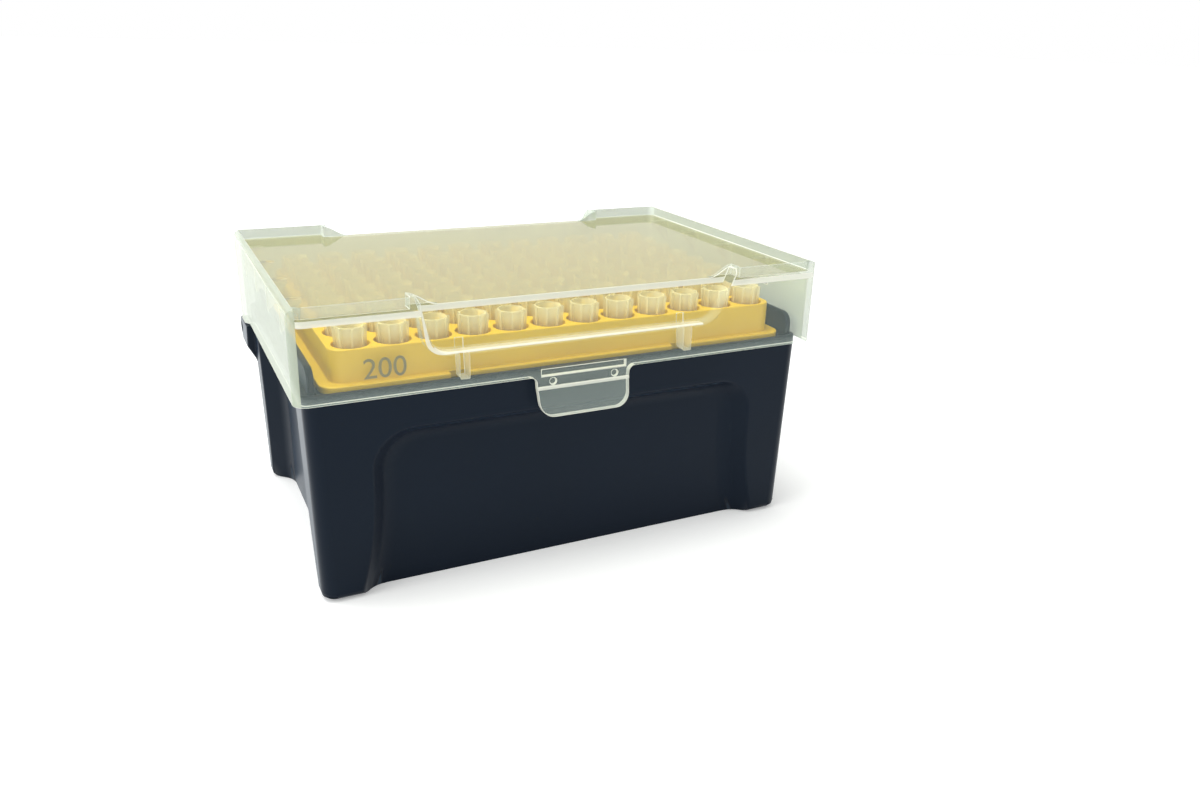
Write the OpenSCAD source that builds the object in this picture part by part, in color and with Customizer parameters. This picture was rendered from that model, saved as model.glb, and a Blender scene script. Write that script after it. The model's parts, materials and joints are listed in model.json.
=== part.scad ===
// Hinged box of pipette tips: a deep base, a drop-in tip rack with 96 tips,
// and a frosted lid that swings on two moulded hinges at the back.
// Millimetres, +Z up, X along the length, the latch faces -Y.
// The origin is the middle of the underside of the base.

/* [Tip grid] */
// Spacing of the tips, both ways
pitch = 9; // [9:0.5:12]

/* [Tips] */
// Whole length of a tip
tip_len = 50.9; // [46:0.1:54]
// Outer diameter at the rim, inside the fins
rim_d = 6.2; // [5.8:0.1:6.6]
// Length of the finned head, from the rim to the feet of the fins
head_len = 14.3; // [12:0.1:17]
// Number of fins round a head
fins = 8; // [4:1:12]
// Thickness of a fin
fin_t = 0.4; // [0.3:0.05:0.6]
// Diameter over the fins at the rim
fin_rim_d = 7.3; // [6.8:0.1:7.7]
// Diameter over the fins at their feet
fin_foot_d = 5.6; // [5.2:0.1:6.4]
// Outer diameter of the stem at the feet of the fins
stem_d = 4.3; // [4:0.1:4.4]
// Length and end diameter of the upper stem
upper_len = 5.5; // [4:0.1:8]
upper_d = 4.1; // [3.6:0.1:4.2]
// Length and end diameter of the middle stem
mid_len = 7.7; // [5:0.1:10]
mid_d = 3.1; // [2.8:0.1:3.6]
// Length and end diameter of the lower stem
lower_len = 12.8; // [8:0.1:16]
lower_d = 1.9; // [1.6:0.1:2.6]
// Outer diameter at the fine end
end_d = 0.9; // [0.7:0.05:1.3]
// Step between two stretches of the stem, on the radius
stem_step = 0.1; // [0.05:0.01:0.2]
// Wall of a tip
tip_wall = 0.45; // [0.3:0.05:0.5]
// Drop from the rim to the sealing ring in the bore
seal_drop = 6; // [4:0.1:9]
// How far the rims stand above the deck of the rack
tip_stand = 4; // [2:0.1:8]
// Room between the fine ends and the floor of the base
tip_room = 8.2; // [2:0.1:20]

/* [Tip rack] */
// Height of the deck above the shelf it stands on
rack_h = 8.9; // [7:0.1:14]
// Deck beyond the outer tips, at the ends
deck_margin_x = 5.3; // [4.9:0.1:8]
// Deck beyond the outer tips, front and back
deck_margin_y = 4.5; // [4.5:0.1:8]
// Wall of the skirt and of the deck
rack_wall = 1.3; // [1:0.1:2]
// Corner radius of the skirt
rack_r = 3.5; // [2:0.1:4.5]
// Wall between neighbouring holes
web_t = 1.1; // [0.8:0.1:1.6]
// Hole in the seat at the foot of each well
seat_d = 4.6; // [4.4:0.1:5]
// Thickness of the seat
seat_t = 1.2; // [0.8:0.1:2]
// Reach of the foot flange at the ends
flange_x = 2.5; // [1.5:0.1:4]
// Reach of the foot flange, front and back
flange_y = 1.6; // [1.2:0.1:3]
// Thickness of the foot flange
flange_t = 1.6; // [1:0.1:2.5]

/* [Base] */
// Wall of the base
base_wall = 1.5; // [1.2:0.1:2]
// Thickness of the floor
floor_t = 1.8; // [1.2:0.1:3]
// Corner radius of the base at its foot
base_r = 3.2; // [3:0.1:6]
// Rounding of the lower edge
foot_r = 1.8; // [0.5:0.1:2.4]
// How much each long side leans in towards the foot
lean_y = 0.7; // [0.3:0.1:1.5]
// How much each end leans in towards the foot
lean_x = 1; // [0.3:0.1:1.5]
// Drop from the rim to the shelf that carries the rack
lip_h = 0.8; // [0.5:0.1:1.5]
// Thickness of that shelf
shelf_t = 1.6; // [1.2:0.1:2.5]
// Upright locating plates at the ends: height above the rim
upstand_h = 5.4; // [3:0.1:7]
// Thickness of the locating plates
upstand_t = 1.5; // [1.2:0.1:2]

/* [Grip panels] */
// From the rim down to the top edge of the front and back panels
panel_drop = 9.8; // [8:0.1:16]
// From the rim down to the top edge of the end panels
end_panel_drop = 2.6; // [2.6:0.1:12]
// Corner radius of the front and back panels
panel_r = 9; // [5:0.5:12]
// Corner radius of the end panels
end_panel_r = 5; // [3:0.5:12]
// Post left at each corner, seen from the front
post_front = 12.4; // [11:0.1:20]
// Post left at each corner, seen from the end
post_end = 9.6; // [9:0.1:16]
// Depth of the front and back panels
sink_front = 4.1; // [2:0.1:4.5]
// Depth of the end panels
sink_end = 5.2; // [2:0.1:5.5]
// Run of the sloped sides of a panel
slope_run = 4.2; // [2:0.1:6]
// Flare of a panel at the foot of the base
flare = 4.2; // [1:0.1:5]

/* [Lid] */
// Wall of the lid
lid_wall = 1.4; // [1.2:0.1:2]
// Corner radius of the lid
lid_r = 3; // [2:0.1:5]
// How far the lid overlaps the rim of the base
lid_lap = 1.2; // [0.8:0.1:2]
// Thickness of the top panel
top_t = 1.4; // [1:0.1:2]
// Rise of the border above the top panel
border_h = 2.7; // [1.5:0.1:4]
// Rounding of the upper outer edges
edge_r = 2.2; // [1:0.1:2.8]

/* [Lid scoops] */
// Width of a scoop at the bottom, before its corners are rounded
scoop_w = 68.8; // [40:0.1:76]
// Lean of the sides of a scoop from upright, in degrees
scoop_lean = 22.7; // [5:0.1:30]
// Depth of a scoop below the border
scoop_h = 12.4; // [8:0.1:13]
// Corner radius of a scoop
scoop_r = 5.5; // [3:0.1:7]
// How far a scoop goes in from the face of the lid
scoop_in = 3.9; // [2:0.1:3.9]
// Wall behind a scoop
scoop_wall = 1.2; // [1:0.1:1.4]
// Run of the soft curve in which the border sinks beside a scoop
end_run = 6.5; // [3:0.1:8]

/* [Latch] */
// Width of the latch tab where it leaves the lid
tab_w = 23; // [16:0.1:30]
// Width of the latch tab at its end
tab_end_w = 22.4; // [14:0.1:24]
// Length of the latch tab below the lid
tab_len = 9.2; // [7:0.1:12]
// Corner radius of the tab
tab_r = 3.6; // [2:0.1:4.5]
// Drop from the lid's edge to the bend of the tab
tab_bend = 2.6; // [2:0.1:4]
// Fillets between the tab and the edge of the lid
tab_root = 1.5; // [0.5:0.1:2.4]
// How far the tab's end stands out
tab_out = 1.9; // [0:0.1:2.5]
// Width of the latch pocket
pocket_w = 20.8; // [12:0.1:22]
// Height of the latch pocket
pocket_h = 1.5; // [1.2:0.1:2.4]
// Depth of the latch pocket
pocket_in = 0.7; // [0.3:0.1:1]
// Diameter of the two dimples in the tab
dimple_d = 1.6; // [1:0.1:2.2]
// Spacing of the two dimples
dimple_gap = 15.3; // [8:0.1:18]

/* [Lid ribs] */
// Spacing of the two hold-down ribs, front and back
rib_gap = 55; // [40:0.5:60]
// Thickness of the ribs
rib_t = 2; // [1.2:0.1:2.4]
// Reach of the gussets under the top panel at the ends
gusset = 4.6; // [2:0.1:4.8]
// Spacing of those gussets
gusset_gap = 18; // [12:0.5:20]

/* [Hinge] */
// Radius of the hinge pins
pin_r = 1.2; // [1:0.05:1.5]
// Width of the knuckle on the lid
knuckle_w = 3.4; // [2.5:0.1:5]
// Thickness of each lug on the base
lug_t = 2.4; // [1.8:0.1:3]
// Drop of the hinge axis below the lid's edge
hinge_drop = 6.1; // [5.8:0.1:7]
// Length along the end of the base of the outer lug
ear_len = 8; // [4:0.5:12]
// Length of the deeper cheeks of the lid beside the hinges
cheek_len = 20; // [10:0.5:26]

/* [Clearances] */
// Round the foot flange in the rim
rack_gap = 0.3; // [0.2:0.05:0.6]
// From the foot flange to the locating plates
end_gap = 1.1; // [0.6:0.1:2]
// Between lid and base at the ends
lid_gap_x = 0.6; // [0.4:0.1:1.2]
// Between lid and base, front and back
lid_gap_y = 1.4; // [1.2:0.1:2]
// Above the tips, under the lid's top panel
tip_gap = 3.2; // [2:0.1:6]
// Round a hinge pin, on the radius
pin_gap = 0.05; // [0.02:0.01:0.1]
// On each side of a knuckle
side_gap = 0.3; // [0.2:0.05:0.5]
// Between the catch on the base and the lid
catch_gap = 0.4; // [0.3:0.05:0.6]
// Between the closed lid and what it comes down on
rest_gap = 0.3; // [0.2:0.05:0.6]

/* [Hidden] */
$fn = 32;
eps = 0.01;
columns = 12;
rows = 8;

// holes and wells of the rack
hole_d = pitch - web_t;
well_d = pitch + 0.3;

// plan sizes, from the tips outwards
deck_len = (columns - 1) * pitch + 2 * deck_margin_x;
deck_wid = (rows - 1) * pitch + 2 * deck_margin_y;
flange_len = deck_len + 2 * flange_x;
flange_wid = deck_wid + 2 * flange_y;
upstand_in = flange_len / 2 + end_gap;
base_len = 2 * (upstand_in + upstand_t + base_wall);
base_wid = flange_wid + 2 * (rack_gap + base_wall);
foot_len = base_len - 2 * lean_x;
foot_wid = base_wid - 2 * lean_y;
lid_len = base_len + 2 * (lid_gap_x + lid_wall);
lid_wid = base_wid + 2 * (lid_gap_y + lid_wall);

// heights, from the floor upwards
shelf_z = floor_t + tip_room + tip_len - tip_stand - rack_h;
base_h = shelf_z + lip_h;
deck_z = shelf_z + rack_h;
rim_z = deck_z + tip_stand;
seat_z = rim_z - head_len;
lid_z = base_h - lid_lap;
top_under_z = rim_z + tip_gap;
top_z = top_under_z + top_t;
border_z = top_z + border_h;
scoop_z = border_z - scoop_h;
scoop_y = lid_wid / 2 - scoop_in;

// hinge
hinge_y = lid_wid / 2 + 0.2;
hinge_z = lid_z - hinge_drop;
knuckle_r = pin_r + 1.2;
lug_r = knuckle_r + 0.4;
lug_out = lid_len / 2;
knuckle_out = lug_out - lug_t - side_gap;
bracket_in = knuckle_out - knuckle_w - side_gap - lug_t;
cheek_z = hinge_z + lug_r + rest_gap;

// rounded rectangle with true arcs
module plate(len, wid, r) {
    square([len - 2 * r, wid], center = true);
    square([len, wid - 2 * r], center = true);
    for (x = [-1, 1], y = [-1, 1])
        translate([x * (len / 2 - r), y * (wid / 2 - r)]) circle(r);
}

module slab(len, wid, r, z0, z1) {
    translate([0, 0, z0]) linear_extrude(z1 - z0) plate(len, wid, r);
}

// a slab that widens from its foot to its top
module leaning_slab(len, wid, r, top_len, top_wid, z0, z1) {
    translate([0, 0, z0])
        linear_extrude(z1 - z0, scale = [top_len / len, top_wid / wid], slices = 1) plate(len, wid, r);
}

// points of an arc
function arc(cx, cy, r, from, to, n = 8) =
    [for (i = [0 : n]) let (a = from + (to - from) * i / n) [cx + r * cos(a), cy + r * sin(a)]];
function mirrored(points) =
    [for (i = [len(points) - 1 : -1 : 0]) [-points[i][0], points[i][1]]];

// ---------- base ----------

// right half of a sunken panel, seen square on: flared foot, rounded top corner
function panel_half(half_w, top, r, grow) =
    concat([[half_w + grow + flare, -2]],
           [for (i = [0 : 6]) let (t = i / 6) [half_w + grow + flare * pow(1 - t, 2.5), t * (top - r)]],
           arc(half_w - r, top - r, r + grow, 8, 90));

// a sunken panel cut from outside to inside, its sides sloping in; grow adds a wall behind it
module panel_cut(half_w, top, r, sink, lean, grow) {
    pts = concat(panel_half(half_w, top, r, grow), mirrored(panel_half(half_w, top, r, grow)));
    shrink = [(half_w - slope_run) / half_w, (top - slope_run * 0.6) / top];
    rotate([-atan(lean / base_h), 0, 0]) {
        linear_extrude(sink + grow, scale = shrink, slices = 1) polygon(pts);
        translate([0, 0, -3]) linear_extrude(3 + eps) polygon(pts);
    }
}

module panel_cuts(grow = 0) {
    for (side = [0, 180]) rotate([0, 0, side]) {
        translate([0, -foot_wid / 2, 0]) rotate([90, 0, 180])
            panel_cut(foot_len / 2 - post_front, base_h - panel_drop, panel_r, sink_front, lean_y, grow);
        translate([-foot_len / 2, 0, 0]) rotate([90, 0, 90])
            panel_cut(foot_wid / 2 - post_end, base_h - end_panel_drop, end_panel_r, sink_end, lean_x, grow);
    }
}

// the outer form, with its lower edge rounded in three steps
module base_form() {
    r = foot_r;
    steps = [for (a = [0 : 30 : 90]) [r * (1 - sin(a)), r * (1 - cos(a))]];
    for (i = [0 : 2])
        leaning_slab(foot_len - 2 * steps[i][0], foot_wid - 2 * steps[i][0], base_r - steps[i][0] * 0.5,
                     foot_len - 2 * steps[i + 1][0], foot_wid - 2 * steps[i + 1][0],
                     steps[i][1], steps[i + 1][1] + (i < 2 ? 0 : eps));
    leaning_slab(foot_len, foot_wid, base_r, base_len, base_wid, r, base_h);
}

module base_shell() {
    difference() {
        base_form();
        difference() {
            leaning_slab(foot_len - 2 * base_wall, foot_wid - 2 * base_wall, base_r - 1,
                         base_len - 2 * base_wall, base_wid - 2 * base_wall, floor_t, base_h + eps);
            panel_cuts(base_wall);
        }
        panel_cuts();
    }
}

// shelf that carries the foot flange, open in the middle for the wells
module shelf() {
    difference() {
        slab(base_len - base_wall, base_wid - base_wall, 2, shelf_z - shelf_t, shelf_z);
        slab(deck_len + 2 * rack_gap, deck_wid + 2 * rack_gap, rack_r, shelf_z - shelf_t - 1, shelf_z + 1);
    }
}

// upright plate at each end, rounded at its top corners
module upstand() {
    half = flange_wid / 2;
    r = 3;
    top = base_h + upstand_h;
    right = concat([[half, shelf_z - shelf_t]], arc(half - r, top - r, r, 0, 90));
    for (side = [-1, 1])
        translate([side * (upstand_in + upstand_t / 2), 0, 0]) rotate([90, 0, 90])
            linear_extrude(upstand_t, center = true) polygon(concat(right, mirrored(right)));
}

// outline of a lug seen from the end: round about the pin, tapering down to the wall
function lug_outline(y0, z0) =
    concat([[y0, hinge_z + lug_r]], arc(hinge_y, hinge_z, lug_r, 90, -35, 10),
           [[base_wid / 2 - 0.4, hinge_z - 8], [z0, hinge_z - 8]]);

module hinge_bracket() {
    wall_y = base_wid / 2 - base_wall + 0.3;
    wall_x = base_len / 2 - base_wall + 0.3;
    difference() {
        union() {
            // inner lug
            translate([bracket_in, 0, 0]) rotate([90, 0, 90]) linear_extrude(lug_t)
                polygon(lug_outline(wall_y, wall_y));
            // outer lug, run on along the end of the base and cut away slantwise below
            intersection() {
                translate([wall_x, 0, 0]) rotate([90, 0, 90]) linear_extrude(lug_out - wall_x)
                    polygon(lug_outline(base_wid / 2 - ear_len, base_wid / 2 - ear_len / 2));
                translate([0, hinge_y + lug_r + 1, 0]) rotate([90, 0, 0]) linear_extrude(ear_len + 20)
                    polygon([[wall_x - 1, hinge_z - 9], [base_len / 2 - 0.3, hinge_z - 9],
                             [base_len / 2 - 0.3, hinge_z - 8], [lug_out, hinge_z - 3.4],
                             [lug_out, hinge_z + lug_r + 1], [wall_x - 1, hinge_z + lug_r + 1]]);
            }
            // gusset under the knuckle, between the lugs
            translate([bracket_in, 0, 0]) rotate([90, 0, 90])
                linear_extrude(lug_out - lug_t - bracket_in + eps)
                    polygon([[wall_y, hinge_z - 8], [base_wid / 2 - 0.4, hinge_z - 8],
                             [hinge_y - 0.6, hinge_z - knuckle_r - 1],
                             [wall_y, hinge_z - knuckle_r - 1]]);
        }
        // bores for the pin, and the gap that the knuckle turns in
        translate([bracket_in - 1, hinge_y, hinge_z]) rotate([0, 90, 0])
            cylinder(h = lug_out - bracket_in + 2, r = pin_r + pin_gap);
        translate([bracket_in + lug_t, base_wid / 2, hinge_z - knuckle_r - side_gap])
            cube([knuckle_w + 2 * side_gap, hinge_y + lug_r - base_wid / 2 + 1,
                  knuckle_r + side_gap + lug_r + 1]);
    }
}

module base() {
    color([0.09, 0.12, 0.20]) {
        base_shell();
        shelf();
        upstand();
        hinge_bracket();
        mirror([1, 0, 0]) hinge_bracket();
        // catch behind the latch pocket
        translate([-pocket_w / 2 + 0.6, -base_wid / 2 - lid_gap_y + catch_gap, lid_z + 0.3])
            cube([pocket_w - 1.2, lid_gap_y, base_h - lid_z - 0.3]);
    }
}

// ---------- lid ----------

// outline of a scoop seen square on, grown by a wall; the top is left open
function scoop_half(grow, top) =
    let (cx = scoop_w / 2 + scoop_r * tan(scoop_lean) - scoop_r / cos(scoop_lean))
    concat(arc(cx, scoop_z + scoop_r, scoop_r + grow, -90, -scoop_lean),
           [[scoop_w / 2 + (top - scoop_z) * tan(scoop_lean) + grow / cos(scoop_lean), top]]);

module scoop(grow, top, y0, y1) {
    pts = concat(scoop_half(grow, top), mirrored(scoop_half(grow, top)));
    translate([0, y1, 0]) rotate([90, 0, 0]) linear_extrude(y1 - y0) polygon(pts);
}

module both_ends() {
    children();
    mirror([1, 0, 0]) children();
}

module both_sides() {
    children();
    mirror([0, 1, 0]) children();
}

// the lid seen square on, with rounded upper corners
module rounded_above(wid) {
    translate([-wid / 2, lid_z]) square([wid, border_z - edge_r - lid_z]);
    translate([-wid / 2 + edge_r, lid_z]) square([wid - 2 * edge_r, border_z - lid_z]);
    for (side = [-1, 1]) translate([side * (wid / 2 - edge_r), border_z - edge_r]) circle(edge_r);
}

module lid_form() {
    intersection() {
        slab(lid_len, lid_wid, lid_r, lid_z, border_z);
        rotate([90, 0, 0]) linear_extrude(lid_wid + 2, center = true) rounded_above(lid_len);
        rotate([90, 0, 90]) linear_extrude(lid_len + 2, center = true) rounded_above(lid_wid);
    }
}

// the border turns in round each scoop and sinks to the top panel in a soft curve
module border_ends() {
    high = scoop_w / 2 + scoop_h * tan(scoop_lean) + scoop_wall;
    curve = [for (i = [0 : 8]) let (t = i / 8)
             [high - end_run * (1 - t), top_z + (border_h + eps) * t * t * (3 - 2 * t)]];
    both_ends() both_sides() translate([0, lid_wid / 2, 0]) rotate([90, 0, 0])
        linear_extrude(scoop_in + scoop_wall)
            polygon(concat([[high - end_run, top_z - 0.3]], curve, [[high, top_z - 0.3]]));
}

module lid_shell() {
    difference() {
        lid_form();
        slab(lid_len - 2 * lid_wall, lid_wid - 2 * lid_wall, lid_r - lid_wall,
             lid_z - 1, top_under_z);
        difference() {
            slab(lid_len - 2 * lid_wall, lid_wid - 2 * lid_wall, lid_r - lid_wall,
                 top_z, border_z + 1);
            border_ends();
        }
    }
}

// ribs that reach down to the rim, into the notches of the foot flange
module hold_down_ribs() {
    deck_y = -deck_wid / 2;
    wall_y = -lid_wid / 2 + lid_wall / 2;
    back_y = -scoop_y + scoop_wall / 2;
    profile = [[wall_y, base_h + rest_gap], [deck_y - 1.4, base_h + rest_gap],
               [deck_y - 0.35, deck_z + rest_gap], [back_y, deck_z + rest_gap],
               [back_y, scoop_z - 0.6], [wall_y, scoop_z - 0.6]];
    both_sides() for (x = [-rib_gap / 2, rib_gap / 2])
        translate([x - rib_t / 2, 0, 0]) rotate([90, 0, 90]) linear_extrude(rib_t) polygon(profile);
}

// small gussets between the end walls and the top panel
module end_gussets() {
    wall_x = lid_len / 2 - lid_wall / 2;
    both_ends() for (y = [-22.5 : gusset_gap : 32])
        translate([0, y + rib_t / 2, 0]) rotate([90, 0, 0]) linear_extrude(rib_t)
            polygon([[wall_x, top_under_z + top_t / 2],
                     [wall_x - gusset - lid_wall / 2, top_under_z + top_t / 2],
                     [wall_x - gusset - lid_wall / 2, top_under_z - 0.8], [wall_x, top_under_z - 7]]);
}

// latch tab: a flap below the edge that bends outwards, with rounded corners
module latch_tab() {
    front = -lid_wid / 2;
    low = lid_z - tab_len;
    bend = lid_z - tab_bend;
    back = front + lid_wall;
    profile = [[front, lid_z + 1], [front, bend], [front - tab_out, low - 1],
               [back - tab_out, low - 1], [back, bend], [back, lid_z + 1]];
    half = concat(arc(tab_end_w / 2 - tab_r, low + tab_r, tab_r, -90, 0),
                  arc(tab_w / 2 + tab_root, lid_z - tab_root, tab_root, 180, 90),
                  [[tab_w / 2 + tab_root, lid_z + 1 + eps]]);
    full_w = tab_w + 2 * tab_root;
    intersection() {
        translate([-full_w / 2, 0, 0]) rotate([90, 0, 90]) linear_extrude(full_w) polygon(profile);
        translate([0, front + 5, 0]) rotate([90, 0, 0]) linear_extrude(10)
            polygon(concat(half, mirrored(half)));
    }
    // ridge along the bend
    translate([-tab_w / 2 + 0.2, front - 0.35, bend - 0.3]) cube([tab_w - 0.4, 0.85, 0.6]);
}

// cheeks: the end walls reach lower towards the back corners
module cheeks() {
    back = lid_wid / 2;
    both_ends() intersection() {
        difference() {
            slab(lid_len, lid_wid, lid_r, cheek_z, lid_z + 1);
            slab(lid_len - 2 * lid_wall, lid_wid - 2 * lid_wall, lid_r - lid_wall, cheek_z - 1, lid_z + 2);
        }
        translate([knuckle_out - knuckle_w, 0, 0]) rotate([90, 0, 90]) linear_extrude(lid_len)
            polygon([[back - cheek_len, lid_z + 1], [back - cheek_len, lid_z], [back - ear_len, cheek_z],
                     [back + 1, cheek_z], [back + 1, lid_z + 1]]);
    }
}

module hinge_arm() {
    both_ends() {
        translate([knuckle_out - knuckle_w, 0, 0]) rotate([90, 0, 90]) linear_extrude(knuckle_w)
            polygon([[lid_wid / 2 - lid_wall, lid_z + 1], [lid_wid / 2 - lid_wall, hinge_z],
                     [hinge_y + knuckle_r * 0.6, hinge_z], [lid_wid / 2, lid_z + 1]]);
        translate([knuckle_out - knuckle_w, hinge_y, hinge_z]) rotate([0, 90, 0])
            cylinder(h = knuckle_w, r = knuckle_r);
        translate([bracket_in + 0.4, hinge_y, hinge_z]) rotate([0, 90, 0])
            cylinder(h = lug_out - bracket_in - 0.8, r = pin_r);
    }
}

module lid() {
    color([0.86, 0.91, 0.86, 0.5])
    difference() {
        union() {
            lid_shell();
            // walls and ledge behind each scoop
            both_sides() intersection() {
                scoop(scoop_wall, top_z, -lid_wid / 2 + eps, -scoop_y + scoop_wall);
                slab(lid_len - 2, lid_wid - 2 * eps, 1, lid_z, top_z);
            }
            hold_down_ribs();
            end_gussets();
            latch_tab();
            cheeks();
            hinge_arm();
        }
        both_sides() scoop(0, border_z + 1, -lid_wid / 2 - 5, -scoop_y);
        // latch pocket
        translate([-pocket_w / 2, -lid_wid / 2 - 1, lid_z + 0.2]) cube([pocket_w, 1 + pocket_in, pocket_h]);
        // dimples
        for (x = [-dimple_gap / 2, dimple_gap / 2])
            translate([x, -lid_wid / 2 + 0.5, lid_z - 1.2]) rotate([90, 0, 0]) cylinder(h = 2, d = dimple_d);
    }
}

// ---------- tip rack ----------

module at_tips() {
    for (c = [0 : columns - 1], r = [0 : rows - 1])
        translate([(c - (columns - 1) / 2) * pitch, (r - (rows - 1) / 2) * pitch, 0]) children();
}

module tip_rack() {
    color([0.93, 0.76, 0.30])
    difference() {
        union() {
            difference() {
                slab(deck_len, deck_wid, rack_r, shelf_z, deck_z);
                slab(deck_len - 2 * rack_wall, deck_wid - 2 * rack_wall, rack_r - rack_wall,
                     shelf_z - 1, deck_z - rack_wall);
            }
            difference() {
                slab(flange_len, flange_wid, rack_r, shelf_z, shelf_z + flange_t);
                slab(deck_len - rack_wall, deck_wid - rack_wall, rack_r - rack_wall / 2,
                     shelf_z - 1, deck_z);
            }
            translate([0, 0, seat_z - seat_t]) linear_extrude(deck_z - rack_wall / 2 - seat_z + seat_t)
                intersection() {
                    at_tips() circle(d = well_d);
                    plate(deck_len, deck_wid, rack_r);
                }
        }
        translate([0, 0, seat_z]) linear_extrude(deck_z - seat_z + 1) at_tips() circle(d = hole_d);
        translate([0, 0, seat_z - seat_t - 1]) linear_extrude(seat_t + 2) at_tips() circle(d = seat_d);
        // notches for the hold-down ribs
        both_sides() for (x = [-rib_gap / 2, rib_gap / 2])
            translate([x - rib_t / 2 - 1.1, -flange_wid / 2 - 1, shelf_z - 1])
                cube([rib_t + 2.2, flange_y + 1 - 0.2, flange_t + 2]);
    }
}

// ---------- tips ----------

// radius of the head's wall at a height above the fine end
function head_r(z) = stem_d / 2 + (rim_d - stem_d) / 2 * (z - tip_len + head_len) / head_len;

// one tip, standing on its fine end: finned head, stepped stem, fine cone, open all through
module tip() {
    foot = tip_len - head_len;
    z1 = foot - upper_len;
    z2 = z1 - mid_len;
    z3 = z2 - lower_len;
    seal = tip_len - seal_drop;
    w = tip_wall;
    outside = [[end_d / 2, 0], [lower_d / 2 - stem_step, z3], [lower_d / 2, z3 + stem_step],
               [mid_d / 2 - stem_step, z2], [mid_d / 2, z2 + stem_step],
               [upper_d / 2 - stem_step, z1], [upper_d / 2, z1 + stem_step],
               [stem_d / 2, foot], [rim_d / 2, tip_len]];
    bore = [[rim_d / 2 - w, tip_len], [head_r(seal) - w, seal], [head_r(seal) - w - 0.15, seal - 0.4],
            [head_r(seal - 0.8) - w, seal - 0.8], [stem_d / 2 - w, foot], [upper_d / 2 - w, z1],
            [mid_d / 2 - w, z2], [lower_d / 2 - w, z3], [end_d / 2 - w / 2, 0]];
    rotate_extrude($fn = 24) polygon(concat(outside, bore));
    for (i = [0 : fins - 1])
        rotate([90, 0, (i + 0.5) * 360 / fins]) linear_extrude(fin_t, center = true)
            polygon([[stem_d / 2 - w / 2, foot], [fin_foot_d / 2, foot], [fin_rim_d / 2, tip_len],
                     [rim_d / 2 - w / 2, tip_len]]);
}

module tips_column(c) {
    color([0.90, 0.91, 0.86, 0.6])
    if (c < columns)
        for (r = [0 : rows - 1])
            translate([(c - (columns - 1) / 2) * pitch, (r - (rows - 1) / 2) * pitch, rim_z - tip_len]) tip();
}

base();
lid();
tip_rack();
tips_column(0);  // tips_column_01
tips_column(1);  // tips_column_02
tips_column(2);  // tips_column_03
tips_column(3);  // tips_column_04
tips_column(4);  // tips_column_05
tips_column(5);  // tips_column_06
tips_column(6);  // tips_column_07
tips_column(7);  // tips_column_08
tips_column(8);  // tips_column_09
tips_column(9);  // tips_column_10
tips_column(10);  // tips_column_11
tips_column(11);  // tips_column_12
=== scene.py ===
import bpy, bmesh, json, math
from mathutils import Vector, Matrix
from mathutils.bvhtree import BVHTree

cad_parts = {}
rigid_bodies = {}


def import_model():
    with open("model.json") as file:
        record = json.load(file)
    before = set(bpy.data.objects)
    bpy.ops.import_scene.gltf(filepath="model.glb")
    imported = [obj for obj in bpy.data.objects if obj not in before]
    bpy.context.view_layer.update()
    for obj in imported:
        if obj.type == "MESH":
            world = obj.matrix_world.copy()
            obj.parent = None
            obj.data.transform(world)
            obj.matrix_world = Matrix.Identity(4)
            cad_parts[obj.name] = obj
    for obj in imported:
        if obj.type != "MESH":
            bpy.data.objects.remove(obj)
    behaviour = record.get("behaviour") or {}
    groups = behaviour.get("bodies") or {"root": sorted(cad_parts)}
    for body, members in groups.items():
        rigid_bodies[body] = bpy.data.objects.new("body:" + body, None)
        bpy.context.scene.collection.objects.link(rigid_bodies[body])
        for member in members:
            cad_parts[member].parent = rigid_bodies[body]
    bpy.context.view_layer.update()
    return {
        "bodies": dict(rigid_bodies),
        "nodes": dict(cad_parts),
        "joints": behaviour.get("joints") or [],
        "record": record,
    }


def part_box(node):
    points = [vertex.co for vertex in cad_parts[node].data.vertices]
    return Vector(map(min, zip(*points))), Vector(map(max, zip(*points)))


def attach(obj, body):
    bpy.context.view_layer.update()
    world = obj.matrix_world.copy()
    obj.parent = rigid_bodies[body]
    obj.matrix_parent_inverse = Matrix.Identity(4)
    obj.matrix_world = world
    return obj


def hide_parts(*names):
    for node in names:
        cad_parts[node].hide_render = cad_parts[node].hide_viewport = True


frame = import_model()
nodes = frame["nodes"]
mm = 0.001
print("frame loaded:", len(nodes), "nodes")


def within(value, span):
    return span[0] < value < span[1]


def addObject(name, data):
    thing = bpy.data.objects.new(name, data)
    bpy.context.scene.collection.objects.link(thing)
    return thing


def meshFrom(bm, name):
    mesh = bpy.data.meshes.new(name)
    bm.to_mesh(mesh)
    bm.free()
    return mesh


def finishedMesh(thing):  # what its modifiers or its letters come to
    bpy.context.view_layer.update()
    graph = bpy.context.evaluated_depsgraph_get()
    return bpy.data.meshes.new_from_object(thing.evaluated_get(graph))


def makeReal(piece):
    mesh = finishedMesh(piece)
    piece.modifiers.clear()
    piece.data = mesh


def midpoint(edge):  # in millimetres
    return (edge.verts[0].co + edge.verts[1].co) / 2 / mm


softening = {"weld": 0.025 * mm, "sliver": 0.01 * mm, "steps": 2,
             "flat": 0.6, "sharp": 32,  # degrees between two faces
             "overshoot": 0.32}  # how far a corner may leave the drawn skin, as a share of the widest


def welded(bm):
    bmesh.ops.remove_doubles(bm, verts=bm.verts, dist=softening["weld"])
    bmesh.ops.dissolve_degenerate(bm, edges=bm.edges, dist=softening["sliver"])


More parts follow.
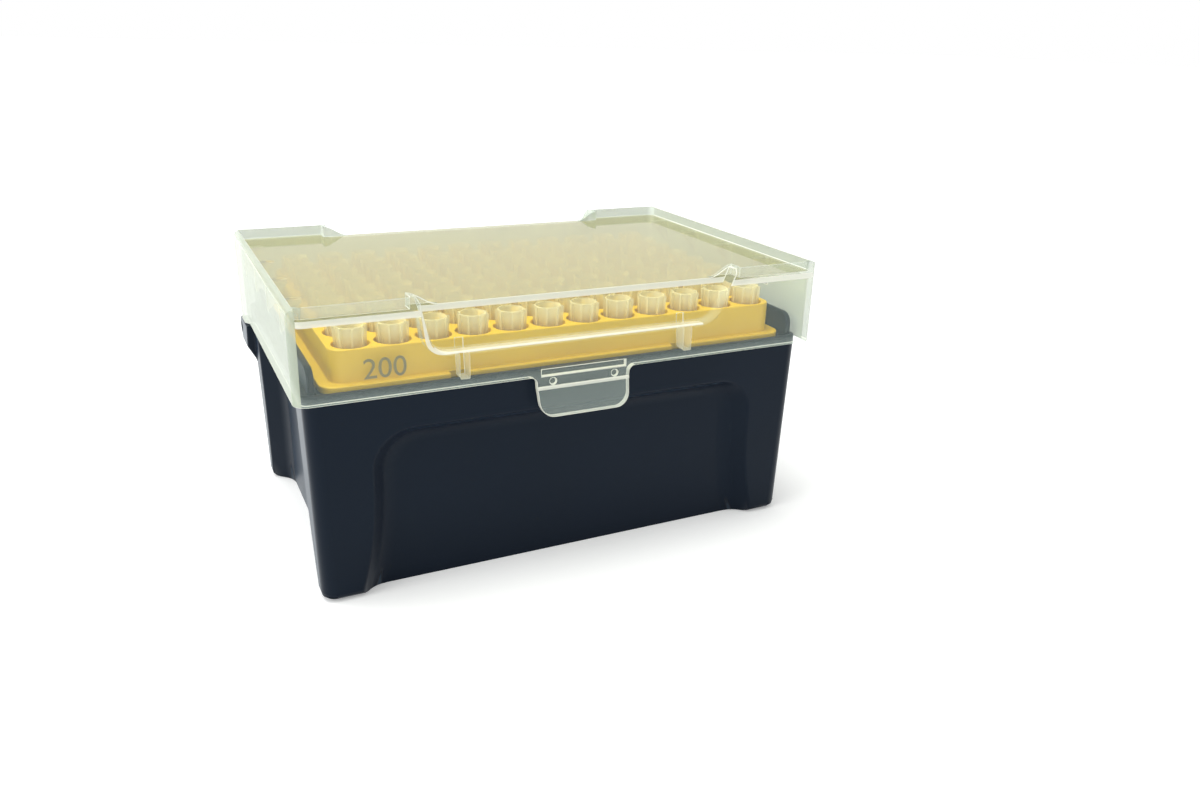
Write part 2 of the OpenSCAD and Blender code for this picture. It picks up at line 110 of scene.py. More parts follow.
def softCopy(name, node, look, shape=None, wide=None, edgeSlot=-1):
    # a welded copy of a moulding, changed by shape(bm), with its sharp edges rounded;
    # wide(edge) may say how much, as a share of the widest
    bm = bmesh.new()
    bm.from_mesh(nodes[node].data)
    welded(bm)
    flat, sharp = math.radians(softening["flat"]), math.radians(softening["sharp"])
    bmesh.ops.dissolve_limit(bm, angle_limit=flat, verts=bm.verts, edges=bm.edges)
    if shape:
        shape(bm)
        welded(bm)
    widest = look.get("wideEdge", look["edge"])
    weight = bm.edges.layers.float.new("bevel_weight_edge")
    for edge in bm.edges:
        high = max(v.co.z for v in edge.verts) > look.get("softAbove", 0)
        if high and edge.is_manifold and edge.calc_face_angle() > sharp:
            edge[weight] = (wide(edge) if wide else 0) or look["edge"] / widest
    drawn = BVHTree.FromBMesh(bm)
    mesh = meshFrom(bm, name)
    mesh.shade_smooth()
    for slot in range(edgeSlot + 1):  # the bevel only paints into slots that exist
        mesh.materials.append(None)
    piece = addObject(name, mesh)
    bevel = piece.modifiers.new("softEdges", "BEVEL")
    bevel.width = widest
    bevel.segments = softening["steps"]
    bevel.limit_method = "WEIGHT"
    bevel.use_clamp_overlap = False
    bevel.miter_outer = "MITER_ARC"
    bevel.material = edgeSlot
    piece.modifiers.new("flatFaces", "WEIGHTED_NORMAL").keep_sharp = True
    makeReal(piece)
    for v in piece.data.vertices:  # an overshooting corner is taken back to the drawn skin
        place, _, _, away = drawn.find_nearest(v.co)
        if away > softening["overshoot"] * widest:
            v.co = place
    return piece


def setInputs(n, values):
    for label, value in values.items():
        n.inputs[label].default_value = value


def nodeIn(tree, kind, inputs={}, **settings):
    n = tree.nodes.new(kind)
    for key, value in settings.items():
        setattr(n, key, value)
    setInputs(n, inputs)
    return n


grainLook = {"driftScale": 38, "driftDetail": 3, "driftSpan": (0.3, 0.7), "roughSwing": 0.025,
             "grainDetail": 2, "grainDepth": 0.04 * mm}


def mouldedPlastic():
    # fine spark-eroded grain and slow tone drift of a moulded surface
    look = grainLook
    group = bpy.data.node_groups.new("mouldedPlastic", "ShaderNodeTree")
    for label, kind, value in [("Color", "Color", (0.5, 0.5, 0.5, 1)), ("Drift", "Float", 0.06),
                               ("Grain Size", "Float", 2500), ("Grain Height", "Float", 0.02),
                               ("Roughness", "Float", 0.4)]:
        socket = group.interface.new_socket(label, in_out="INPUT", socket_type="NodeSocket" + kind)
        socket.default_value = value
    for label, kind in [("Color", "Color"), ("Roughness", "Float"), ("Normal", "Vector")]:
        group.interface.new_socket(label, in_out="OUTPUT", socket_type="NodeSocket" + kind)
    new = lambda kind, inputs={}, **settings: nodeIn(group, kind, inputs, **settings)
    link = group.links.new
    gin, gout = new("NodeGroupInput"), new("NodeGroupOutput")
    coords = new("ShaderNodeTexCoord")
    slow = new("ShaderNodeTexNoise", {"Scale": look["driftScale"], "Detail": look["driftDetail"]})
    link(coords.outputs["Object"], slow.inputs["Vector"])
    fine = new("ShaderNodeTexNoise", {"Detail": look["grainDetail"]})
    link(coords.outputs["Object"], fine.inputs["Vector"])
    link(gin.outputs["Grain Size"], fine.inputs["Scale"])
    low, high = look["driftSpan"]
    swing = new("ShaderNodeMapRange", {"From Min": low, "From Max": high, "To Min": -1})
    link(slow.outputs["Fac"], swing.inputs["Value"])
    tone = new("ShaderNodeMath", {2: 1}, operation="MULTIPLY_ADD")
    link(swing.outputs["Result"], tone.inputs[0])
    link(gin.outputs["Drift"], tone.inputs[1])
    toned = new("ShaderNodeVectorMath", operation="SCALE")
    link(gin.outputs["Color"], toned.inputs[0])
    link(tone.outputs[0], toned.inputs["Scale"])
    link(toned.outputs[0], gout.inputs["Color"])
    rough = new("ShaderNodeMath", {1: look["roughSwing"]}, operation="MULTIPLY_ADD")
    link(swing.outputs["Result"], rough.inputs[0])
    link(gin.outputs["Roughness"], rough.inputs[2])
    link(rough.outputs[0], gout.inputs["Roughness"])
    bump = new("ShaderNodeBump", {"Distance": look["grainDepth"]})
    link(gin.outputs["Grain Height"], bump.inputs["Strength"])
    link(fine.outputs["Fac"], bump.inputs["Height"])
    link(bump.outputs["Normal"], gout.inputs["Normal"])
    return group


plasticGroup = mouldedPlastic()


def newMaterial(name):
    material = bpy.data.materials.new(name)
    material.use_nodes = True
    tree = material.node_tree
    return material, tree, tree.nodes["Principled BSDF"]


def grained(tree, shader, color, finish):
    g = nodeIn(tree, "ShaderNodeGroup", node_tree=plasticGroup)
    setInputs(g, {"Color": (*color, 1), "Drift": finish["drift"], "Grain Size": finish["grainSize"],
                  "Grain Height": finish["grain"], "Roughness": finish["roughness"]})
    for output, goal in (("Color", "Base Color"), ("Roughness", "Roughness"), ("Normal", "Normal")):
        tree.links.new(g.outputs[output], shader.inputs[goal])
    return g


def heightFade(tree, start, end, most=1, **settings):
    # from 0 at one height of the piece to most at another
    coords = nodeIn(tree, "ShaderNodeTexCoord")
    axes = nodeIn(tree, "ShaderNodeSeparateXYZ")
    tree.links.new(coords.outputs["Object"], axes.inputs[0])
    span = {"From Min": start, "From Max": end, "To Max": most}
    fade = nodeIn(tree, "ShaderNodeMapRange", span, **settings)
    tree.links.new(axes.outputs["Z"], fade.inputs["Value"])
    return fade.outputs["Result"]


def denserAside(tree, shader, square, aside, steep=3):
    # alpha from its value square on towards 1 at a glancing angle
    weight = nodeIn(tree, "ShaderNodeLayerWeight")
    power = nodeIn(tree, "ShaderNodeMath", {1: steep}, operation="POWER")
    tree.links.new(weight.outputs["Facing"], power.inputs[0])
    mix = nodeIn(tree, "ShaderNodeMath", {1: aside * (1 - square), 2: square}, operation="MULTIPLY_ADD")
    tree.links.new(power.outputs[0], mix.inputs[0])
    tree.links.new(mix.outputs[0], shader.inputs["Alpha"])


def lightPasses(tree, shader, tint):
    # shadow rays go through, so what stands behind or inside is lit
    clear = nodeIn(tree, "ShaderNodeBsdfTransparent", {"Color": (*tint, 1)})
    path = nodeIn(tree, "ShaderNodeLightPath")
    mix = nodeIn(tree, "ShaderNodeMixShader")
    tree.links.new(path.outputs["Is Shadow Ray"], mix.inputs["Fac"])
    tree.links.new(shader.outputs[0], mix.inputs[1])
    tree.links.new(clear.outputs[0], mix.inputs[2])
    tree.links.new(mix.outputs[0], tree.nodes["Material Output"].inputs["Surface"])


def setSurface(piece, *materials):
    # keeps the slot number of each face, which clearing the list would lose
    slots = [face.material_index for face in piece.data.polygons]
    piece.data.materials.clear()
    for material in materials:
        piece.data.materials.append(material)
    piece.data.polygons.foreach_set("material_index", slots)


baseLook = {"color": (0.0030, 0.0062, 0.0145),
            "finish": {"drift": 0.08, "grainSize": 2600, "grain": 0.25, "roughness": 0.3},
            "specular": 0.16, "gloss": (0.72, 0.88, 1.0),
            "sheenWeight": 0.1, "sheenRoughness": 0.3, "sheen": (0.35, 0.62, 0.95),
            "edge": 0.45 * mm, "softAbove": 2.5 * mm, "panelRound": 2.6 * mm, "panelSteps": 6,
            # where the grip panels meet their sides, in millimetres, and the turn there, in degrees
            "panelRim": {"x": (53.5, 57.5), "y": (33, 36), "top": 47, "turn": (-75, -20)}}


def roundPanels(bm):
    # the sunken grip panels run into their sloping sides in a wide curve
    look, rim = baseLook, baseLook["panelRim"]

    def deep(edge):
        x, y, z = midpoint(edge)
        return z < rim["top"] and (within(abs(x), rim["x"]) or within(abs(y), rim["y"]))
    inner = [e for e in bm.edges if e.is_manifold and deep(e)
             and within(math.degrees(e.calc_face_angle_signed()), rim["turn"])]
    print("panel edges rounded:", len(inner))
    bmesh.ops.bevel(bm, geom=inner, offset=look["panelRound"], segments=look["panelSteps"], profile=0.5,
                    affect="EDGES", clamp_overlap=False)


def makeBase():
    look = baseLook
    piece = softCopy("baseTub", "base", look, shape=roundPanels)
    material, tree, shader = newMaterial("navyMoulding")
    grained(tree, shader, look["color"], look["finish"])
    setInputs(shader, {"Specular IOR Level": look["specular"], "Specular Tint": (*look["gloss"], 1),
                       "Sheen Weight": look["sheenWeight"], "Sheen Roughness": look["sheenRoughness"],
                       "Sheen Tint": (*look["sheen"], 1)})
    setSurface(piece, material)
    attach(piece, "base")
    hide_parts("base")


makeBase()
print("base made")


rackLook = {"color": (0.79, 0.52, 0.012), "edge": 0.25 * mm,
            "finish": {"drift": 0.04, "grainSize": 2200, "grain": 0.12, "roughness": 0.38}}


def makeRack():
    piece = softCopy("tipRack", "tip_rack", rackLook)
    material, tree, shader = newMaterial("yellowMoulding")
    grained(tree, shader, rackLook["color"], rackLook["finish"])
    setSurface(piece, material)
    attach(piece, "base")
    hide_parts("tip_rack")


numberLook = {"text": "200", "height": 4.6 * mm, "thick": 0.015 * mm, "x": -48.6 * mm, "z": 50.6 * mm,
              "digit": 0.73,  # height of a digit, as a share of the size of the type
              "ink": (0.20, 0.165, 0.06),
              "finish": {"drift": 0.12, "grainSize": 3000, "grain": 0.1, "roughness": 0.5}}


def makeNumber():
    # the printed size of the tips, a film of ink on the front of the rack
    look = numberLook
    words = bpy.data.curves.new("rackNumber", "FONT")
    words.body = look["text"]
    words.size = look["height"] / look["digit"]
    words.extrude = look["thick"]
    carrier = addObject("rackNumber", words)
    mesh = finishedMesh(carrier)
    bpy.data.objects.remove(carrier)
    place = Matrix.Translation((look["x"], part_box("tip_rack")[0][1], look["z"]))  # on the front of the rack
    mesh.transform(place @ Matrix.Rotation(math.pi / 2, 4, "X"))
    piece = addObject("rackNumber", mesh)
    material, tree, shader = newMaterial("greyInk")
    grained(tree, shader, look["ink"], look["finish"])
    setSurface(piece, material)
    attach(piece, "base")


makeRack()
makeNumber()
print("rack made")


# the warmer colour towards each tip's foot is a painted glow of the rack's light through the clear plastic
tipLook = {"color": (1.0, 0.91, 0.57), "rackGlowPainted": (1.0, 0.78, 0.36), "rackGlowPaintedSpan": (56.0 * mm, 59.6 * mm),
           "finish": {"drift": 0.03, "grainSize": 1800, "grain": 0.05, "roughness": 0.22},
           "alpha": 0.42, "aside": 0.5, "tint": (0.97, 0.96, 0.93),
           "columns": 12, "rows": 8, "pitch": 9 * mm, "fins": 8, "sides": 24, "seed": 7, "smooth": 40,
           # one tip in millimetres; stem and bore are (radius, height), lip and mouth are counted
           # from the rim, and seal from the inside of the wall at the sealing ring
           "shape": {"length": 50.9, "head": 14.3, "rim": 3.1, "shoulder": 2.15, "wall": 0.45,
                     "sealDrop": 6,
                     "stem": ((0.45, 0), (0.85, 10.6), (0.95, 10.7), (1.45, 23.4), (1.55, 23.5),
                              (1.95, 31.1), (2.05, 31.2)),
                     "lip": ((-0.04, -0.6), (0, -0.15), (-0.12, 0)),
                     "mouth": ((0.12, 0), (0, -0.2)),
                     "seal": ((0, 0), (-0.15, -0.4), (-0.05, -0.8)),
                     "bore": ((1.5, 31.1), (1.1, 23.4), (0.5, 10.6), (0.22, 0)),
                     "finThick": 0.4, "finRim": 3.65, "finFoot": 2.8, "finDrop": 0.1,
                     "finBevel": (0.1, 0.3)}}


def joinLoops(bm, a, b):
    for k in range(len(a)):
        after = (k + 1) % len(a)
        bm.faces.new((a[k], b[k], b[after], a[after]))


def closedMesh(bm, name):
    bmesh.ops.recalc_face_normals(bm, faces=bm.faces)
    return meshFrom(bm, name)


def tipShell():
    # one closed loop round the wall, turned about the axis
    t, sides = tipLook["shape"], tipLook["sides"]
    top, foot = t["length"], t["length"] - t["head"]
    rim, shoulder, wall = t["rim"], t["shoulder"], t["wall"]
    seal = top - t["sealDrop"]
    atSeal = shoulder + (rim - shoulder) * (seal - foot) / t["head"]
    moved = lambda points, r, z: [(r + dr, z + dz) for dr, dz in points]
    outside = [*t["stem"], (shoulder, foot), *moved(t["lip"], rim, top)]
    inside = [*moved(t["mouth"], rim - wall, top), *moved(t["seal"], atSeal - wall, seal),
              (shoulder - wall, foot), *t["bore"]]
    bm = bmesh.new()
    rings = []
    for i in range(sides):
        a = 2 * math.pi * i / sides
        x, y = mm * math.cos(a), mm * math.sin(a)
        rings.append([bm.verts.new((r * x, r * y, z * mm)) for r, z in outside + inside])
    for i in range(sides):
        joinLoops(bm, rings[i], rings[(i + 1) % sides])
    return closedMesh(bm, "tipShell")


def tipFin():
    # a thin tapered plate standing on the head
    t = tipLook["shape"]
    foot, top = t["length"] - t["head"], t["length"] - t["finDrop"]
    inset, bevel = t["finBevel"]
    root = t["wall"] / 2  # stands in the wall
    outline = [(t["rim"] - root, top), (t["finRim"] - inset, top), (t["finRim"], t["length"] - bevel),
               (t["finFoot"], foot), (t["shoulder"] - root, foot)]
    bm = bmesh.new()
    front, back = [[bm.verts.new((r * mm, y * mm, z * mm)) for r, z in outline]
                   for y in (-t["finThick"] / 2, t["finThick"] / 2)]
    bm.faces.new(front)
    bm.faces.new(back[::-1])
    joinLoops(bm, front, back)
    return closedMesh(bm, "tipFin")


def tipMaterial():
    look = tipLook
    material, tree, shader = newMaterial("clearTip")
    g = grained(tree, shader, look["color"], look["finish"])
    # painted glow: the rack's yellow light through the clear plastic is painted into the tips' colour, warmer
    # towards their foot
    colours = {6: (*look["rackGlowPainted"], 1), 7: (*look["color"], 1)}  # the mix's colours A and B
    tone = nodeIn(tree, "ShaderNodeMix", colours, data_type="RGBA")
    tree.links.new(heightFade(tree, *look["rackGlowPaintedSpan"]), tone.inputs[0])
    tree.links.new(tone.outputs[2], g.inputs["Color"])
    denserAside(tree, shader, look["alpha"], look["aside"])
    lightPasses(tree, shader, look["tint"])
    return material


def tipTree(shellObject, finObject, material):
    tree = bpy.data.node_groups.new("tipGrid", "GeometryNodeTree")
    face = tree.interface
    face.new_socket("Geometry", in_out="INPUT", socket_type="NodeSocketGeometry")
    sockets = {}
    for label, kind in [("Pitch", "Float"), ("Columns", "Int"), ("Rows", "Int"), ("Fins", "Int"),
                        ("Foot Height", "Float")]:
        socket = face.new_socket(label, in_out="INPUT", socket_type="NodeSocket" + kind)
        sockets[label] = socket.identifier
    face.new_socket("Geometry", in_out="OUTPUT", socket_type="NodeSocketGeometry")
    new = lambda kind, inputs={}, **settings: nodeIn(tree, kind, inputs, **settings)
    link = tree.links.new
    gin, gout = new("NodeGroupInput"), new("NodeGroupOutput")
    shell = new("GeometryNodeObjectInfo", {"Object": shellObject})
    fin = new("GeometryNodeObjectInfo", {"Object": finObject})
    # fins turned about the axis
    line = new("GeometryNodeMeshLine", {"Offset": (0, 0, 0)})
    link(gin.outputs["Fins"], line.inputs["Count"])
    index = new("GeometryNodeInputIndex")
    step = new("ShaderNodeMath", {0: 2 * math.pi}, operation="DIVIDE")
    link(gin.outputs["Fins"], step.inputs[1])
    turn = new("ShaderNodeMath", operation="MULTIPLY")
    link(index.outputs[0], turn.inputs[0])
    link(step.outputs[0], turn.inputs[1])
    spin = new("ShaderNodeCombineXYZ")
    link(turn.outputs[0], spin.inputs["Z"])
    fins = new("GeometryNodeInstanceOnPoints")
    link(line.outputs["Mesh"], fins.inputs["Points"])
    link(fin.outputs["Geometry"], fins.inputs["Instance"])
    link(spin.outputs[0], fins.inputs["Rotation"])
    whole = new("GeometryNodeJoinGeometry")
    link(fins.outputs["Instances"], whole.inputs[0])
    link(shell.outputs["Geometry"], whole.inputs[0])
    # the whole tip on every place of the grid
    grid = new("GeometryNodeMeshGrid")
    for label, size, count in (("Columns", "Size X", "Vertices X"), ("Rows", "Size Y", "Vertices Y")):
        less = new("ShaderNodeMath", {1: 1}, operation="SUBTRACT")
        link(gin.outputs[label], less.inputs[0])
        span = new("ShaderNodeMath", operation="MULTIPLY")
        link(less.outputs[0], span.inputs[0])
        link(gin.outputs["Pitch"], span.inputs[1])
        link(span.outputs[0], grid.inputs[size])
        link(gin.outputs[label], grid.inputs[count])
    raised = new("GeometryNodeTransform")
    lift = new("ShaderNodeCombineXYZ")
    link(gin.outputs["Foot Height"], lift.inputs["Z"])
    link(lift.outputs[0], raised.inputs["Translation"])
    link(grid.outputs["Mesh"], raised.inputs["Geometry"])
    # each tip dropped in at its own angle
    random = new("FunctionNodeRandomValue", {3: 2 * math.pi, "Seed": tipLook["seed"]})
    yaw = new("ShaderNodeCombineXYZ")
    link(random.outputs[1], yaw.inputs["Z"])
    tips = new("GeometryNodeInstanceOnPoints")
    link(raised.outputs["Geometry"], tips.inputs["Points"])
    link(whole.outputs[0], tips.inputs["Instance"])
    link(yaw.outputs[0], tips.inputs["Rotation"])
    real = new("GeometryNodeRealizeInstances")
    link(tips.outputs["Instances"], real.inputs[0])
    paint = new("GeometryNodeSetMaterial", {"Material": material})
    link(real.outputs[0], paint.inputs["Geometry"])
    link(paint.outputs[0], gout.inputs[0])
    return tree, sockets


def makeTips():
    look = tipLook
    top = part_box("tips_column_01")[1][2]
    parts = [addObject("tipShell", tipShell()), addObject("tipFin", tipFin())]
    tree, sockets = tipTree(*parts, tipMaterial())
    piece = addObject("tipSet", bpy.data.meshes.new("tipSet"))
    grid = piece.modifiers.new("tipGrid", "NODES")
    grid.node_group = tree
    for label, value in {"Pitch": look["pitch"], "Columns": look["columns"], "Rows": look["rows"],
                         "Fins": look["fins"], "Foot Height": top - look["shape"]["length"] * mm}.items():
        grid[sockets[label]] = value
    makeReal(piece)
    piece.data.shade_smooth()
    piece.data.set_sharp_from_angle(angle=math.radians(look["smooth"]))
    for part in parts:
        bpy.data.objects.remove(part)
    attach(piece, "base")
    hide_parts(*["tips_column_%02d" % (i + 1) for i in range(12)])


makeTips()
print("tips made")


lidLook = {"finish": {"drift": 0.02, "grainSize": 1500, "grain": 0.015, "roughness": 0.22},
           "tint": (0.96, 0.97, 0.94), "edge": 0.14 * mm, "wideEdge": 1.3 * mm,
           "clearWall": {"color": (0.70, 0.83, 0.77), "alpha": 0.075, "aside": 0.5, "hem": 0.07},
           # the edges and thickness of the walls: denser where seen through the thickness, with a painted
           # glow of light piped through it
           "denseEdgePaintedGlow": {"color": (0.92, 0.93, 0.82), "alpha": 0.74},
           "frostedEnd": {"color": (0.48, 0.545, 0.43), "alpha": 0.6},
           "milkyRear": {"color": (0.60, 0.69, 0.58), "alpha": 0.5},
           # ribs and gussets: denser as thick plastic; this pale colour, also on the band in the front scoop,
           # is a milder painted glow of light through the thickness
           "ribsAndPaintedGlow": {"color": (0.86, 0.85, 0.70), "alpha": 0.45},
           "frostedTop": {"color": (0.58, 0.57, 0.34), "haze": 0.2, "bend": 1.3,
                          "finish": {"drift": 0.02, "grainSize": 1500, "grain": 0.004, "roughness": 0.07}},
           # where its features are, in millimetres, and areas of faces in square metres
           "place": {"wall": 1.4, "panel": (64.1, 65.5), "panelArea": 1e-3, "foot": 47.6,
                     "hemTop": (47.8, 49.8), "skin": -41.9, "rear": 37, "corner": {"x": 59.5, "y": -38.5},
                     "pocket": {"half": 10.4, "z": (47.75, 49.3), "frame": 0.18},
                     "ridge": {"z": (44.55, 45.45), "front": -42.3, "area": 3e-5},
                     "rib": {"x": (26.3, 28.7), "y": (37.3, 40.9), "top": 55.2},
                     "gusset": {"x": 57, "y": 40, "area": 1e-4},
                     "scoop": {"x": 40.5, "y": -37, "z": 54.3, "right": 31, "band": -39.8, "front": -41.6},
                     "scoopFloor": {"x": 40, "y": -38.3, "z": (55, 65.5), "middle": 62},
                     "scoopRim": {"x": (-38, 35), "z": (55, 65.4), "least": 0.27, "left": (-30.7, -34.7)},
                     "scoopTurn": {"x": (-43, -33), "y": -36.9, "z": (56.4, 64.1), "shift": 1.9}}}
lidPlace = lidLook["place"]
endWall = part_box("lid")[1][0] / mm - lidPlace["wall"]  # inside of the end walls
clearWall, denseEdgePaintedGlow, frostedTop, frostedEnd, milkyRear, ribsAndPaintedGlow = range(6)  # the lid's materials


def share(value, start, end):
    return min(max((value - start) / (end - start), 0), 1)


def cut(bm, faces, at, along):  # at in millimetres
    edges = {e for f in faces for e in f.edges}
    verts = {v for f in faces for v in f.verts}
    bmesh.ops.bisect_plane(bm, geom=[*faces, *edges, *verts], plane_co=[c * mm for c in at], plane_no=along,
                           dist=1e-3 * mm)


def inScoop(n, c):
    # on the floor or an end of the front scoop
    floor = lidPlace["scoopFloor"]
    inward = abs(n.y) < 0.1 and n.z * (floor["middle"] - c.z) - n.x * c.x > 0
    return inward and c.y < floor["y"] and within(c.z, floor["z"]) and abs(c.x) < floor["x"]


def splitLid(bm):
    # the left end of the front scoop stands steeper than in the drawn part
    turn = lidPlace["scoopTurn"]
    for v in bm.verts:
        x, y, z = v.co / mm
        if within(x, turn["x"]) and y < turn["y"]:
            v.co.x += turn["shift"] * mm * share(z, *turn["z"])
    # cuts where a wall meets another, so that its lit-up thickness can be told from the rest
    for side in (-1, 1):
        cut(bm, bm.faces[:], (side * endWall, 0, 0), (1, 0, 0))
    for level in lidPlace["panel"]:
        cut(bm, bm.faces[:], (0, 0, level), (0, 0, 1))
    # a band round the latch pocket, painted with a bright glow as if light came through the wall there
    pocket = lidPlace["pocket"]
    low, high = pocket["z"]

    def frontSkin():
        return [f for f in bm.faces if f.normal.y < -0.99 and min(v.co.z for v in f.verts) / mm < high
                and f.calc_center_median().y / mm < lidPlace["skin"]]
    for level in (low - pocket["frame"], high + pocket["frame"]):
        cut(bm, frontSkin(), (0, 0, level), (0, 0, 1))
    for side in (-1, 1):
        cut(bm, frontSkin(), (side * (pocket["half"] + pocket["frame"]), 0, 0), (1, 0, 0))
    # the part of the front scoop that is as deep as the wall
    scooped = [f for f in bm.faces if inScoop(f.normal, f.calc_center_median() / mm)]
    cut(bm, scooped, (0, lidPlace["scoop"]["band"], 0), (0, 1, 0))


def scoopRound(edge):
    # how far the rim of the front scoop is rounded, as a share of the widest: most at its left end
    rim, (x, _, z) = lidPlace["scoopRim"], midpoint(edge)
    inside = any(v.co.y / mm > lidPlace["skin"] for v in edge.verts)
    if inside or not within(x, rim["x"]) or not within(z, rim["z"]):
        return 0
    return rim["least"] + (1 - rim["least"]) * share(x, *rim["left"])


def lidSlot(face):
    n, c, place = face.normal, face.center / mm, lidPlace
    across, deep, onEdge = abs(c.x), abs(c.y), face.material_index == denseEdgePaintedGlow
    level, upright, through = abs(n.z) > 0.99, abs(n.y) > 0.6, abs(n.y) < 0.1
    under, over = place["panel"]
    rib, gusset, corner, scoop, ridge, pocket = [
        place[name] for name in ("rib", "gusset", "corner", "scoop", "ridge", "pocket")]
    if level and under - 0.2 < c.z < over + 0.2 and face.area > place["panelArea"]:
        return frostedTop
    if within(across, rib["x"]) and within(deep, rib["y"]) and c.z < rib["top"]:
        return ribsAndPaintedGlow
    besideEnd = gusset["x"] < across < endWall - 0.1 and deep < gusset["y"] and c.z < under
    if besideEnd and face.area < gusset["area"]:
        return ribsAndPaintedGlow
    if across > corner["x"] and c.y < corner["y"] and c.z > over + 1:
        return frostedEnd
    if c.y > place["rear"] and (c.z > over - 0.05 or upright and c.z > place["foot"] + 1):
        return milkyRear
    # the front scoop: its rim and the band as deep as the wall get painted glow
    if across < scoop["x"] and c.y < scoop["y"] and scoop["z"] < c.z < under and (onEdge or through):
        if c.x > scoop["right"] or c.y > scoop["band"]:
            return clearWall
        return denseEdgePaintedGlow if c.y < scoop["front"] else ribsAndPaintedGlow if inScoop(n, c) else clearWall
    if onEdge:
        return denseEdgePaintedGlow
    if across > endWall - 0.1:
        return denseEdgePaintedGlow if abs(n.y) > 0.9 and place["foot"] < c.z < over else frostedEnd
    if c.z > over - 0.05:
        return clearWall if c.y < 0 else frostedEnd
    # upright faces: the top panel's edge-on thickness, the band round the latch pocket and the ridge at the
    # bend get the painted glow
    if upright:
        (low, high), frame = pocket["z"], pocket["frame"]
        inPaintedGlowBand = across < pocket["half"] + frame and low - frame < c.z < high + frame
        inPaintedGlowBand = inPaintedGlowBand and c.y < place["skin"]
        ridged = within(c.z, ridge["z"]) and c.y < ridge["front"] and face.area < ridge["area"]
        return denseEdgePaintedGlow if under < c.z < over or inPaintedGlowBand or ridged else clearWall
    # a face that runs through the thickness of the front or back wall, with the painted glow near the foot
    return denseEdgePaintedGlow if c.z < place["foot"] + 2 and c.y < place["skin"] + 1 else clearWall


def lidMaterial(name, color, alpha, aside=0, hem=0):
    # clear square on, milkier at a glancing angle and in the thick hem
    material, tree, shader = newMaterial(name)
    grained(tree, shader, color, lidLook["finish"])
    if aside:
        denserAside(tree, shader, alpha, aside)
    else:
        shader.inputs["Alpha"].default_value = alpha
    if hem:
        low, high = [z * mm for z in lidPlace["hemTop"]]
        both = nodeIn(tree, "ShaderNodeMath", operation="ADD")
        tree.links.new(shader.inputs["Alpha"].links[0].from_socket, both.inputs[0])
        tree.links.new(heightFade(tree, high, low, hem, interpolation_type="SMOOTHSTEP"), both.inputs[1])
        tree.links.new(both.outputs[0], shader.inputs["Alpha"])
    lightPasses(tree, shader, lidLook["tint"])
    return material


def lidTopMaterial(name, color, haze, bend, finish):
    # the top panel blurs what is under it
    material, tree, shader = newMaterial(name)
    grained(tree, shader, color, finish)
    setInputs(shader, {"Transmission Weight": 1 - haze, "IOR": bend})
    lightPasses(tree, shader, lidLook["tint"])
    return material


def makeLid():
    look = lidLook
    piece = softCopy("lidShell", "lid", look, shape=splitLid, wide=scoopRound, edgeSlot=denseEdgePaintedGlow)
    for face in piece.data.polygons:
        face.material_index = lidSlot(face)
    skin = lambda name: lidMaterial(name, **look[name])
    panel = lidTopMaterial("frostedTop", **look["frostedTop"])
    setSurface(piece, skin("clearWall"), skin("denseEdgePaintedGlow"), panel, skin("frostedEnd"), skin("milkyRear"),
               skin("ribsAndPaintedGlow"))
    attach(piece, "lid")
    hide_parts("lid")


makeLid()
print("lid made")


stageLook = {"floor": (0.82, 0.83, 0.82), "floorSize": 6, "floorDrop": 0.2 * mm, "floorRoughness": 0.9,
             "lift": 0.25, "fade": (0.25, 0.9), "world": 0.7}


def directlySeen(tree):
    # 1 for a ray from the camera, off gloss or through glass
    path = nodeIn(tree, "ShaderNodeLightPath")
    bent, seen = [nodeIn(tree, "ShaderNodeMath", operation="MAXIMUM") for i in range(2)]
    tree.links.new(path.outputs["Is Glossy Ray"], bent.inputs[0])
    tree.links.new(path.outputs["Is Transmission Ray"], bent.inputs[1])
    tree.links.new(path.outputs["Is Camera Ray"], seen.inputs[0])
    tree.links.new(bent.outputs[0], seen.inputs[1])
    return seen.outputs[0]


def makeFloor():
    look = stageLook
    bm = bmesh.new()
    bmesh.ops.create_grid(bm, x_segments=1, y_segments=1, size=look["floorSize"])
    floor = addObject("floor", meshFrom(bm, "floor"))
    floor.location.z = -look["floorDrop"]
    material, tree, shader = newMaterial("paleFloor")
    setInputs(shader, {"Base Color": (*look["floor"], 1), "Roughness": look["floorRoughness"],
                       "Emission Color": (1, 1, 1, 1)})
    # white is added to the seen floor, little near the box and plenty far away
    coords = nodeIn(tree, "ShaderNodeTexCoord")
    away = nodeIn(tree, "ShaderNodeVectorMath", operation="LENGTH")
    tree.links.new(coords.outputs["Object"], away.inputs[0])
    near, far = look["fade"]
    fade = nodeIn(tree, "ShaderNodeMapRange", {"From Min": near, "From Max": far, "To Min": look["lift"]},
                  interpolation_type="SMOOTHSTEP")
    tree.links.new(away.outputs["Value"], fade.inputs["Value"])
    white = nodeIn(tree, "ShaderNodeMath", operation="MULTIPLY")
    tree.links.new(directlySeen(tree), white.inputs[0])
    tree.links.new(fade.outputs["Result"], white.inputs[1])
    tree.links.new(white.outputs[0], shader.inputs["Emission Strength"])
    setSurface(floor, material)


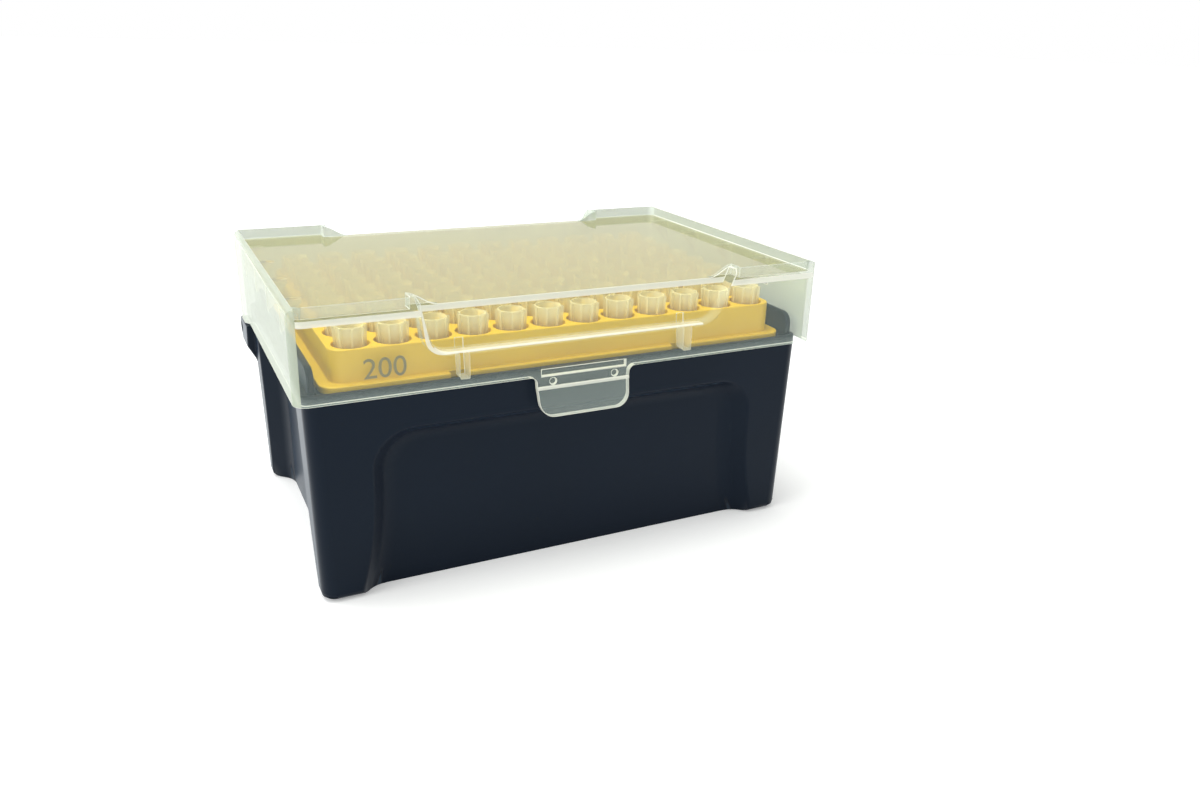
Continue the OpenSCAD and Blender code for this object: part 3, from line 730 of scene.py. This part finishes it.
def makeWorld():
    # white behind everything, and a little dimmer where it lights the object
    world = bpy.data.worlds.new("studio")
    bpy.context.scene.world = world
    world.use_nodes = True
    tree = world.node_tree
    dim = tree.nodes["Background"]
    setInputs(dim, {"Color": (1, 1, 1, 1), "Strength": stageLook["world"]})
    bright = nodeIn(tree, "ShaderNodeBackground", {"Color": (1, 1, 1, 1), "Strength": 1})
    mix = nodeIn(tree, "ShaderNodeMixShader")
    tree.links.new(directlySeen(tree), mix.inputs["Fac"])
    tree.links.new(dim.outputs[0], mix.inputs[1])
    tree.links.new(bright.outputs[0], mix.inputs[2])
    tree.links.new(mix.outputs[0], tree.nodes["World Output"].inputs["Surface"])


lampLook = {"topLamp": {"at": (-0.2, 0.1, 0.9), "aim": (0, 0, 0.04), "size": 0.7, "power": 6.5},
            "leftLamp": {"at": (-0.8, -0.2, 0.45), "aim": (0, 0, 0.04), "size": 0.5, "power": 1.8},
            "rearLamp": {"at": (-0.75, 0.45, 0.25), "aim": (0, 0, 0.03), "size": 0.5, "power": 1.6}}


def makeLight():
    for name, look in lampLook.items():
        lamp = bpy.data.lights.new(name, "AREA")
        lamp.shape = "DISK"
        lamp.size = look["size"]
        lamp.energy = look["power"]
        stand = addObject(name, lamp)
        stand.location = look["at"]
        towards = Vector(look["aim"]) - Vector(look["at"])
        stand.rotation_euler = towards.to_track_quat("-Z", "Y").to_euler()


cameraLook = {"sensor": 36, "lens": 29.04, "at": (-0.08904, -0.22786, 0.11949),
              "right": (0.89816, -0.43881, 0.02733), "up": (0.13366, 0.33174, 0.93385),
              "back": (-0.41885, -0.83510, 0.35661)}


def makeCamera():
    look = cameraLook
    lens = bpy.data.cameras.new("camera")
    lens.sensor_width = look["sensor"]
    lens.lens = look["lens"]
    camera = addObject("camera", lens)
    turn = Matrix((look["right"], look["up"], look["back"])).transposed()
    camera.matrix_world = Matrix.Translation(look["at"]) @ turn.to_4x4()
    bpy.context.scene.camera = camera


makeFloor()
makeWorld()
makeLight()
makeCamera()
bpy.context.scene.view_settings.view_transform = "Standard"
print("stage made")

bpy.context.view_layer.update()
